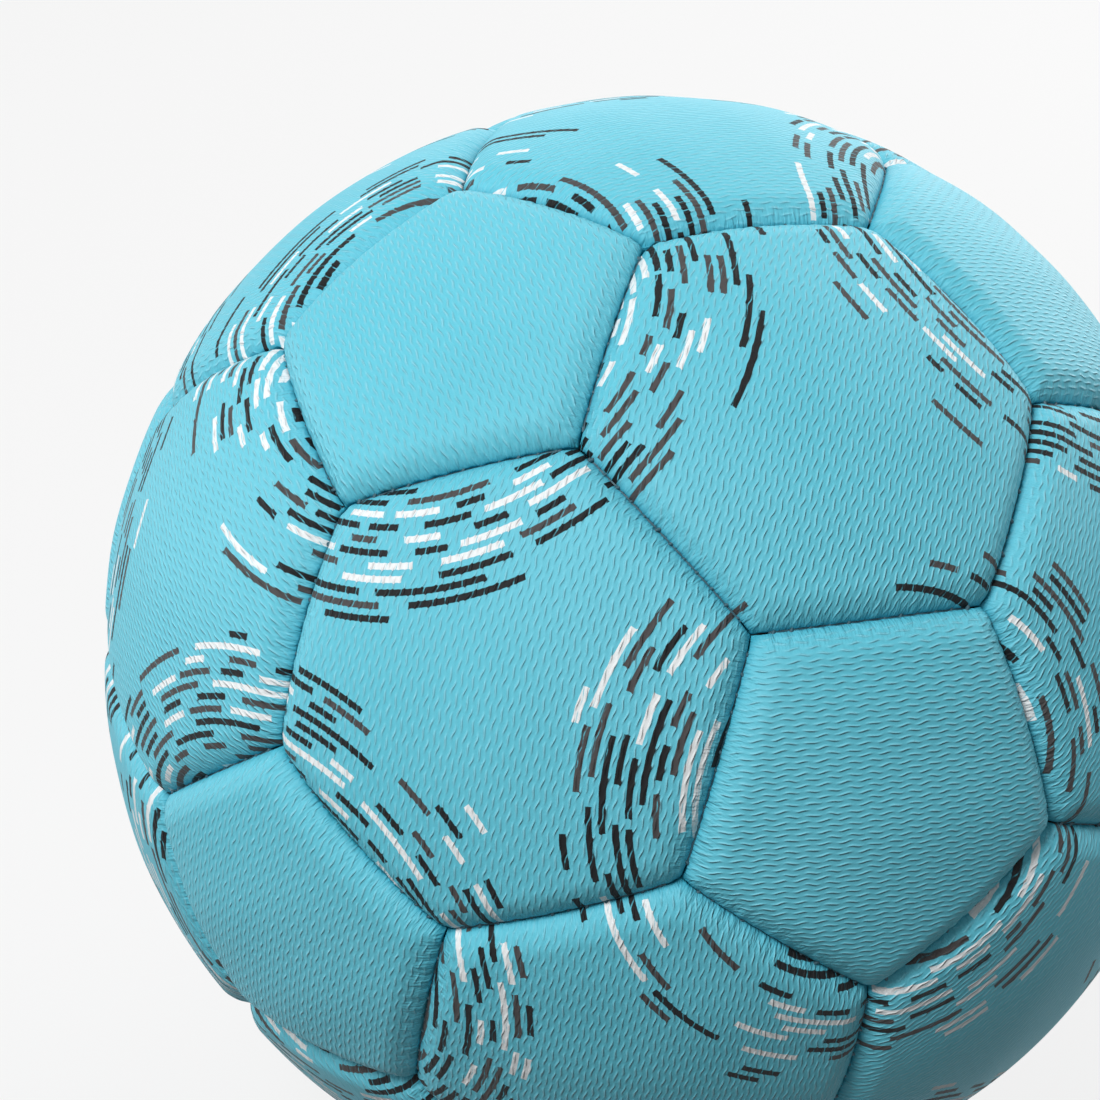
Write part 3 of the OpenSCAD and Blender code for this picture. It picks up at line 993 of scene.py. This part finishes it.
def thread_material(name):
    """Waxed thread: two plies that show as fine slanted bands."""
    material, graph, shader = new_material(name)
    position = graph.node("TexCoord").outputs["Object"]
    x, y, z = graph.split(position)
    bands = 2 * math.pi / (PLY_PITCH * MM)
    twist = graph.math("SINE", graph.times(graph.add(graph.add(x, y), z), bands))
    plies = graph.add(graph.times(twist, PLY_SHARE), 0.5)
    speckle = graph.group(SCUFFS, Position=position, Scale=THREAD_SCALE)["Speckle"]
    tone = graph.times(graph.add(plies, speckle), 0.5)
    color = graph.mix(tone, THREAD_DARK, THREAD_PALE)
    finish_plain(graph, shader, color, speckle, THREAD_ROUGHNESS, plies, THREAD_RELIEF)
    return material


def dress_frame(thread):
    """Materials of the pieces that the frame itself shows."""
    foam = foam_material("foam")
    cloth = cloth_material("lining_cloth")
    bladder = rubber_material("bladder_rubber", BLADDER_SCALE)
    valve = rubber_material("valve_rubber", VALVE_SCALE)
    finishes = {
        "pentagon_foam_pads": foam, "hexagon_foam_pads": foam,
        "pentagon_linings": cloth, "hexagon_linings": cloth, "valve_patch": cloth,
        "seam_threads": thread, "bladder": bladder, "valve_housing": valve, "valve_plug": valve,
    }
    for name, material in finishes.items():
        mesh = frame["nodes"][name].data
        mesh.materials.clear()
        mesh.materials.append(material)


# Stitches

def loop_path():
    """Middle line of a stitch: X along the seam, Y across it, Z the distance from the ball's centre."""
    share = np.linspace(-1, 1, LOOP_STEPS)
    height = LOOP_FOOT_R + (LOOP_TOP_R - LOOP_FOOT_R) * (1 - share ** 2) ** LOOP_ROUNDNESS
    return np.column_stack([LOOP_SLANT * share, LOOP_HALF_W * share, height])


def tube(path, radius, sides):
    """Points and faces of a round tube with closed ends along a path."""
    steps = unit(np.gradient(path, axis=0))
    side = unit(np.cross(steps, np.array([1.0, 0.0, 0.0])))
    up = np.cross(steps, side)
    turns = 2 * math.pi * np.arange(sides) / sides
    flat, rise = np.cos(turns)[None, :, None], np.sin(turns)[None, :, None]
    around = flat * side[:, None] + rise * up[:, None]
    points = (path[:, None] + radius * around).reshape(-1, 3)
    rows = np.arange(len(points)).reshape(-1, sides)
    walls = np.vstack([ring_quads(a, b)[:, ::-1] for a, b in zip(rows, rows[1:])])
    return points, walls, np.vstack([rows[0], rows[-1][::-1]])


def seam_axes():
    """Axes over the middle of each of the 90 seams: Z points out of the ball and X runs along the seam."""
    found = []
    shape = PanelShape(5, 0)
    for direction in PENTAGONS:
        axes = panel_axes(direction, HEXAGONS)
        for middle, tangent in zip(shape.seam_middles, shape.seam_tangents):
            found.append(axes_along(axes @ middle, axes @ tangent))
    for i, j in pentagon_pairs(PENTAGONS):
        found.append(axes_along(PENTAGONS[i] + PENTAGONS[j], PENTAGONS[j]))
    return found


def make_stitches(material):
    """The thread's loops that cross each seam, seen down between the panels."""
    path_points, walls, ends = tube(loop_path(), THREAD_D / 2, THREAD_SIDES)
    draw = np.random.default_rng(STITCH_SEED)
    points, wall_sets, end_sets = [], [], []
    for axes in seam_axes():
        for stitch in range(STITCHES_PER_SEAM):
            along = (stitch - (STITCHES_PER_SEAM - 1) / 2) * STITCH_PITCH + draw.normal(0, STRAY_ALONG)
            local = path_points + np.array([0, draw.normal(0, STRAY_ACROSS), draw.normal(0, STRAY_DEPTH)])
            angle = (along + local[:, 0]) / BALL_R
            bent = np.column_stack([local[:, 2] * np.sin(angle), local[:, 1], local[:, 2] * np.cos(angle)])
            count = len(points) * len(path_points)
            points.append(bent @ axes.T)
            wall_sets.append(walls + count)
            end_sets.append(ends + count)
    piece, _ = new_mesh("stitch_loops", np.vstack(points), [np.vstack(wall_sets), np.vstack(end_sets)])
    piece.data.materials.append(material)
    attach(piece, "root")


# Camera, light and floor

def view_axes():
    """Columns right, up and back of the camera, from the direction of the view and its lean."""
    azimuth, elevation = math.radians(VIEW_AZIMUTH), math.radians(VIEW_ELEVATION)
    flat = math.cos(elevation)
    back = Vector((flat * math.cos(azimuth), flat * math.sin(azimuth), math.sin(elevation)))
    right = Vector((0, 0, 1)).cross(back).normalized()
    up = back.cross(right)
    lean = math.radians(VIEW_LEAN)
    leaned_right = math.cos(lean) * right + math.sin(lean) * up
    return leaned_right, back.cross(leaned_right), back


def add_camera():
    """Camera that takes the photograph's view."""
    data = bpy.data.cameras.new("photo_camera")
    camera = bpy.data.objects.new("photo_camera", data)
    bpy.context.scene.collection.objects.link(camera)
    right, up, back = view_axes()
    distance = VIEW_DISTANCE_SHARE * BALL_R * MM
    rotation = Matrix((right, up, back)).transposed()
    camera.matrix_world = Matrix.Translation(back * distance) @ rotation.to_4x4()
    focal_px = OUTLINE_R_PX * math.sqrt(VIEW_DISTANCE_SHARE ** 2 - 1)
    data.sensor_width = SENSOR_WIDTH
    data.lens = data.sensor_width * focal_px / IMAGE_SIZE
    middle = IMAGE_SIZE / 2
    data.shift_x = (middle - CENTRE_PX[0]) / IMAGE_SIZE
    data.shift_y = (CENTRE_PX[1] - middle) / IMAGE_SIZE
    bpy.context.scene.camera = camera


def add_softbox(name, direction, distance, size, power):
    """Square lamp that faces the ball. The direction is in the camera's axes: right, up and back."""
    data = bpy.data.lights.new(name, "AREA")
    data.shape = "SQUARE"
    data.size = size
    data.energy = power
    lamp = bpy.data.objects.new(name, data)
    bpy.context.scene.collection.objects.link(lamp)
    right, up, back = view_axes()
    towards = (right * direction[0] + up * direction[1] + back * direction[2]).normalized()
    lamp.location = towards * distance
    lamp.rotation_mode = "QUATERNION"
    lamp.rotation_quaternion = towards.to_track_quat("Z", "Y")


def seen_directly(graph):
    """1 where the camera, a mirror or glass sees the surface, and 0 where it only lights others."""
    path = graph.node("LightPath")
    seen = graph.math("MAXIMUM", path.outputs["Is Camera Ray"], path.outputs["Is Glossy Ray"])
    return graph.math("MAXIMUM", seen, path.outputs["Is Transmission Ray"])


def add_floor():
    """Pale floor that keeps the ball's shadow, and shows the background's tone where the camera sees it."""
    corners = np.array([(-1, -1), (1, -1), (1, 1), (-1, 1)]) * FLOOR_HALF_W
    points = np.column_stack([corners, np.full(len(corners), cad_low.z / MM)])
    floor, _ = new_mesh("floor", points, [np.array([[0, 1, 2, 3]])])
    material, graph, shader = new_material("pale_floor")
    seen = seen_directly(graph)
    tone = graph.add(graph.times(seen, FLOOR_SEEN - FLOOR_BOUNCE), FLOOR_BOUNCE)
    graph.put(shader["Base Color"], tone)
    shader["Roughness"].default_value = FLOOR_ROUGHNESS
    glow = graph.node("Emission")
    glow.inputs["Color"].default_value = (BACKGROUND, BACKGROUND, BACKGROUND, 1)
    blend = graph.node("MixShader")
    graph.put(blend.inputs[0], graph.times(seen, FLOOR_GLOW_SHARE))
    output = material.node_tree.nodes["Material Output"]
    body = material.node_tree.nodes["Principled BSDF"].outputs[0]
    graph.put(blend.inputs[1], body)
    graph.put(blend.inputs[2], glow.outputs[0])
    graph.put(output.inputs["Surface"], blend.outputs[0])
    floor.data.materials.append(material)


def add_world():
    """Even surround that the camera sees as the background and that lights the ball softly."""
    world = bpy.data.worlds.new("studio")
    bpy.context.scene.world = world
    world.use_nodes = True
    graph = Graph(world.node_tree)
    shade = world.node_tree.nodes["Background"].inputs
    level = graph.add(graph.times(seen_directly(graph), BACKGROUND - SURROUND_LIGHT), SURROUND_LIGHT)
    shade["Color"].default_value = (1, 1, 1, 1)
    graph.put(shade["Strength"], level)


add_camera()
add_world()
add_floor()
for name, (direction, distance, size, power) in LAMPS.items():
    add_softbox(name, direction, distance, size, power)
bpy.context.scene.view_settings.view_transform = "Standard"

plain_leather = leather_material("plain_leather", False)
printed_leather = leather_material("printed_leather", True)
for number, direction in enumerate(PENTAGONS, 1):
    make_panel("pentagon", number, direction, HEXAGONS, plain_leather)
for number, direction in enumerate(HEXAGONS, 1):
    make_panel("hexagon", number, direction, PENTAGONS, printed_leather)
waxed_thread = thread_material("waxed_thread")
dress_frame(waxed_thread)
make_stitches(waxed_thread)
